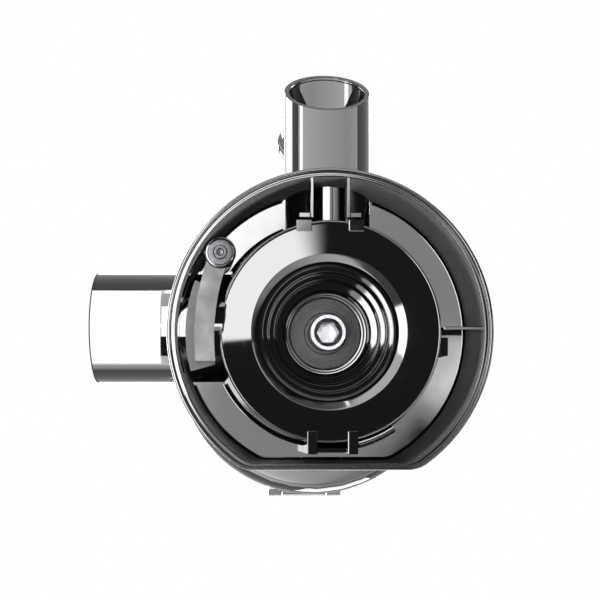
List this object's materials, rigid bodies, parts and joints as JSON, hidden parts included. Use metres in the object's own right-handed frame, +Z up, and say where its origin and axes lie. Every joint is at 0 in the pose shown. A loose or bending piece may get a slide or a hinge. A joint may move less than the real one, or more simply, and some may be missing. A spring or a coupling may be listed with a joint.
{
  "type": "cold press juicer",
  "caption": "Juicing head of a vertical cold press juicer: skirted bowl with hub, juice and pulp spouts, clean-out lever, screw, strainer, brush and a round hopper with a lid.",
  "frame": {"origin": "on the drive axis, in the plane of the skirt's rim, on which the head stands", "axes": "+Z up along the drive axis from the rim towards the hopper; -Y out of the juice spout; -X out of the pulp spout; +Y out of the skirt's flat side"},
  "size_m": [0.1982, 0.2235, 0.2343],
  "materials": {
    "black_gloss": "gloss black moulded plastic",
    "black_matte": "matte black moulded plastic",
    "grey_rubber": "soft grey silicone",
    "steel": "turned stainless steel",
    "mesh_steel": "etched stainless sheet",
    "resin": "dark filled resin"
  },
  "bodies": {
    "bowl": {"bowl_skirt": "black_gloss", "bowl_hub": "black_gloss", "bowl_floor": "black_gloss", "bowl_drum": "black_gloss", "juice_spout": "black_gloss", "pulp_spout": "black_gloss", "shaft_seal": "grey_rubber", "shaft_bush": "resin", "pinion_pins": "steel", "strainer_frame": "black_matte", "strainer_mesh": "mesh_steel", "lever_washer": "steel", "lever_screw": "steel", "cap_pin": "steel"},
    "screw": {"drive_socket": "steel", "auger": "resin", "auger_gear": "resin"},
    "pinion_a": {"pinion_rear": "resin"},
    "pinion_b": {"pinion_front": "resin"},
    "brush": {"brush_frame": "black_matte", "brush_wipers": "grey_rubber"},
    "cap": {"juice_cap": "black_gloss", "cap_seal": "grey_rubber"},
    "lever": {"pulp_lever": "black_gloss", "lever_hub": "black_gloss", "pulp_plug": "grey_rubber"},
    "lid": {"bowl_lid": "black_gloss", "lid_bush": "resin", "lid_seal": "grey_rubber", "feed_hopper": "black_gloss", "hopper_pin": "steel"},
    "hopper_cover": {"hopper_lid": "black_gloss"}
  },
  "joints": [
    {"name": "auger_spin", "type": "hinge", "parent": "bowl", "child": "screw", "pos_m": [0, 0, 0.03], "axis": [0, 0, 1], "continuous": true},
    {"name": "pinion_a_spin", "type": "hinge", "parent": "bowl", "child": "pinion_a", "pos_m": [0, 0.025, 0.049], "axis": [0, 0, 1], "continuous": true},
    {"name": "pinion_b_spin", "type": "hinge", "parent": "bowl", "child": "pinion_b", "pos_m": [0, -0.025, 0.049], "axis": [0, 0, 1], "continuous": true},
    {"name": "brush_spin", "type": "hinge", "parent": "bowl", "child": "brush", "pos_m": [0, 0, 0.05], "axis": [0, 0, 1], "continuous": true},
    {"name": "cap_hinge", "type": "hinge", "parent": "bowl", "child": "cap", "pos_m": [0.0013, -0.112, 0.082], "axis": [1, 0, 0], "range_deg": [0, 170]},
    {"name": "lever_swing", "type": "hinge", "parent": "bowl", "child": "lever", "pos_m": [-0.0537, -0.0388, 0.012], "axis": [0, 0, 1], "range_deg": [0, 35]},
    {"name": "lid_turn", "type": "hinge", "parent": "bowl", "child": "lid", "pos_m": [0, 0, 0.131], "axis": [0, 0, 1], "range_deg": [0, 30]},
    {"name": "hopper_cover_hinge", "type": "hinge", "parent": "lid", "child": "hopper_cover", "pos_m": [0, 0.0848, 0.2265], "axis": [-1, 0, 0], "range_deg": [0, 100]}
  ],
  "couplings": [
    {"joint": "pinion_a_spin", "follows": "auger_spin", "ratio": -1.5},
    {"joint": "pinion_b_spin", "follows": "auger_spin", "ratio": -1.5},
    {"joint": "brush_spin", "follows": "auger_spin", "ratio": -0.42857}
  ]
}
